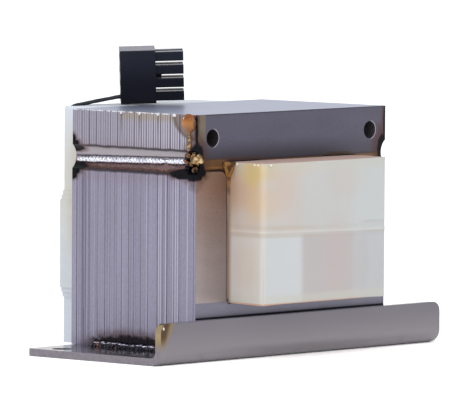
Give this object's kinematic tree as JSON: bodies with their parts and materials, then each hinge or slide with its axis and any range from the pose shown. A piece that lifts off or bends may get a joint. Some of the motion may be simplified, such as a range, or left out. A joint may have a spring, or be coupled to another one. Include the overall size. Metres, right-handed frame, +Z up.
{
  "type": "laminated chassis transformer",
  "caption": "Chassis transformer with a welded E and I steel core, a tape-wrapped coil, a folded base plate and a plug on two leads.",
  "frame": {"origin": "centre of the base plate's four-hole pattern, on the plate's underside", "axes": "+X along the plate, -Y towards its upturned flange, +Z up through the core"},
  "size_m": [0.127, 0.0839, 0.0916],
  "materials": {
    "plate_steel": "rolled, dull",
    "core_steel": "varnished sheet edges",
    "weld_bright": "rippled, bright",
    "weld_burnt": "burnt, glossy",
    "former_board": "pressed board",
    "magnet_wire": "enamelled wire",
    "coil_paper": "varnished paper",
    "wrap_tape": "satin tape",
    "cover_sheet": "satin",
    "lead_insulation": "satin",
    "plug_nylon": "moulded",
    "terminal_tin": "tinned",
    "varnish": "glossy amber"
  },
  "bodies": {
    "root": {"base_plate": "plate_steel", "e_laminations": "core_steel", "i_laminations": "core_steel", "left_joint_weld": "weld_bright", "right_joint_weld": "weld_bright", "left_base_weld": "weld_burnt", "right_base_weld": "weld_burnt", "coil_former": "former_board", "primary_winding": "magnet_wire", "primary_margin_tape": "coil_paper", "interwinding_paper": "coil_paper", "secondary_winding": "magnet_wire", "secondary_margin_tape": "coil_paper", "outer_paper": "coil_paper", "coil_wrap_lower": "wrap_tape", "coil_wrap_upper": "wrap_tape", "rear_cover": "cover_sheet", "rear_cover_band": "wrap_tape", "lead_splice_1": "lead_insulation", "lead_splice_2": "lead_insulation", "lead_1": "lead_insulation", "lead_2": "lead_insulation", "connector_housing": "plug_nylon", "terminal_1": "terminal_tin", "terminal_2": "terminal_tin", "varnish_runs": "varnish"}
  },
  "joints": []
}
